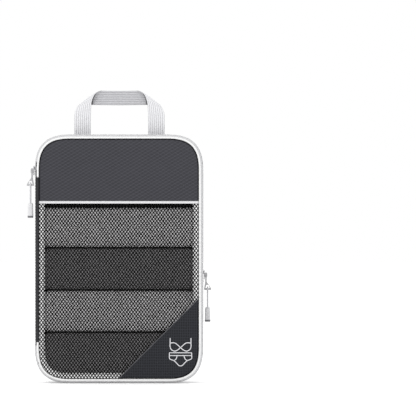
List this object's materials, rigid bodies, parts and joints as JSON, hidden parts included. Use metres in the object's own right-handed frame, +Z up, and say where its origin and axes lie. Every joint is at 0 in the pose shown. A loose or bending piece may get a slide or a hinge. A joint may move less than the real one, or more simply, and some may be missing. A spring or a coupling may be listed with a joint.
{
  "type": "compression packing cube",
  "caption": "Small flat fabric packing cube with a zip-round mesh front lid, a folding gusset that a second zip squeezes flat, and a webbing carrying handle.",
  "frame": {"origin": "on the floor, under the middle of the case's width and depth", "axes": "+X to the right as seen from the front, +Y to the back, +Z up; the mesh lid faces -Y"},
  "size_m": [0.2184, 0.056, 0.3471],
  "materials": {
    "main_cloth": "dark grey ripstop weave",
    "window_mesh": "black warp-knit mesh with diamond holes",
    "patch_cloth": "darker dobby weave",
    "spine_cloth": "dark plain weave",
    "white_piping": "white bound piping",
    "white_trim": "white grosgrain trim",
    "zip_tape": "light grey woven zip tape",
    "zip_coil": "light grey nylon coil",
    "lining": "white lining cloth",
    "webbing": "light grey ribbed webbing",
    "thread": "white sewing thread",
    "print": "light grey printed ink",
    "slider_metal": "light grey enamelled zip slider",
    "pull_cord": "light grey braided cord",
    "pull_grip": "light grey moulded grip"
  },
  "bodies": {
    "middle": {"spine_panel": "spine_cloth", "main_zip_body_tape": "zip_tape", "main_zip_body_coil": "zip_coil", "main_zip_end_tabs": "zip_tape", "middle_wall": "main_cloth", "middle_wall_lining": "lining", "squeeze_zip_front_tape": "zip_tape", "squeeze_zip_front_coil": "zip_coil", "squeeze_zip_stop": "zip_tape", "handle_anchor_tabs": "webbing", "squeeze_gusset": "main_cloth"},
    "lid": {"lid_top_panel": "main_cloth", "lid_divider_trim": "white_trim", "lid_mesh_window": "window_mesh", "lid_corner_patch": "patch_cloth", "lid_seam_binding": "white_trim", "lid_pictogram": "print", "lid_white_piping": "white_piping", "lid_spine_piping": "spine_cloth", "main_zip_lid_tape": "zip_tape", "main_zip_lid_coil": "zip_coil"},
    "rear": {"squeeze_zip_rear_coil": "zip_coil", "squeeze_zip_rear_tape": "zip_tape", "rear_wall": "main_cloth", "back_piping": "white_piping", "back_panel": "main_cloth", "back_lining": "lining"},
    "handle": {"carry_handle": "webbing", "handle_stitching": "thread"},
    "main_slider": {"main_zip_slider_body": "slider_metal"},
    "main_tab": {"main_zip_pull_tab": "slider_metal"},
    "main_pull": {"main_zip_pull_cord": "pull_cord", "main_zip_pull_grip": "pull_grip"},
    "squeeze_slider": {"squeeze_zip_slider_body": "slider_metal"},
    "squeeze_tab": {"squeeze_zip_pull_tab": "slider_metal"},
    "squeeze_pull": {"squeeze_zip_pull_cord": "pull_cord", "squeeze_zip_pull_grip": "pull_grip"}
  },
  "joints": [
    {"name": "lid_hinge", "type": "hinge", "parent": "middle", "child": "lid", "pos_m": [-0.0985, -0.0265, 0.1475], "axis": [0, 0, -1], "range_deg": [0, 180]},
    {"name": "expansion", "type": "slide", "parent": "middle", "child": "rear", "axis": [0, 1, 0], "range_m": [0, 0.044], "deforming": ["squeeze_gusset"]},
    {"name": "handle_swing", "type": "hinge", "parent": "middle", "child": "handle", "pos_m": [0, 0.002, 0.2954], "axis": [-1, 0, 0], "range_deg": [-75, 75]},
    {"name": "main_zip_run", "type": "hinge", "parent": "middle", "child": "main_slider", "pos_m": [-0.058, -0.017, 0.253], "axis": [0, 1, 0], "range_deg": [0, 80]},
    {"name": "main_tab_tilt", "type": "hinge", "parent": "main_slider", "child": "main_tab", "pos_m": [-0.103, -0.017, 0.2504], "axis": [0, 1, 0], "range_deg": [0, 100]},
    {"name": "main_pull_swing", "type": "hinge", "parent": "main_tab", "child": "main_pull", "pos_m": [-0.105, -0.017, 0.235], "axis": [1, 0, 0], "range_deg": [-60, 60]},
    {"name": "squeeze_zip_run", "type": "slide", "parent": "middle", "child": "squeeze_slider", "axis": [0, 0, 1], "range_m": [0, 0.1]},
    {"name": "squeeze_tab_tilt", "type": "hinge", "parent": "squeeze_slider", "child": "squeeze_tab", "pos_m": [0.103, 0.01, 0.1264], "axis": [0, -1, 0], "range_deg": [0, 100]},
    {"name": "squeeze_pull_swing", "type": "hinge", "parent": "squeeze_tab", "child": "squeeze_pull", "pos_m": [0.105, 0.01, 0.111], "axis": [1, 0, 0], "range_deg": [-60, 60]}
  ]
}
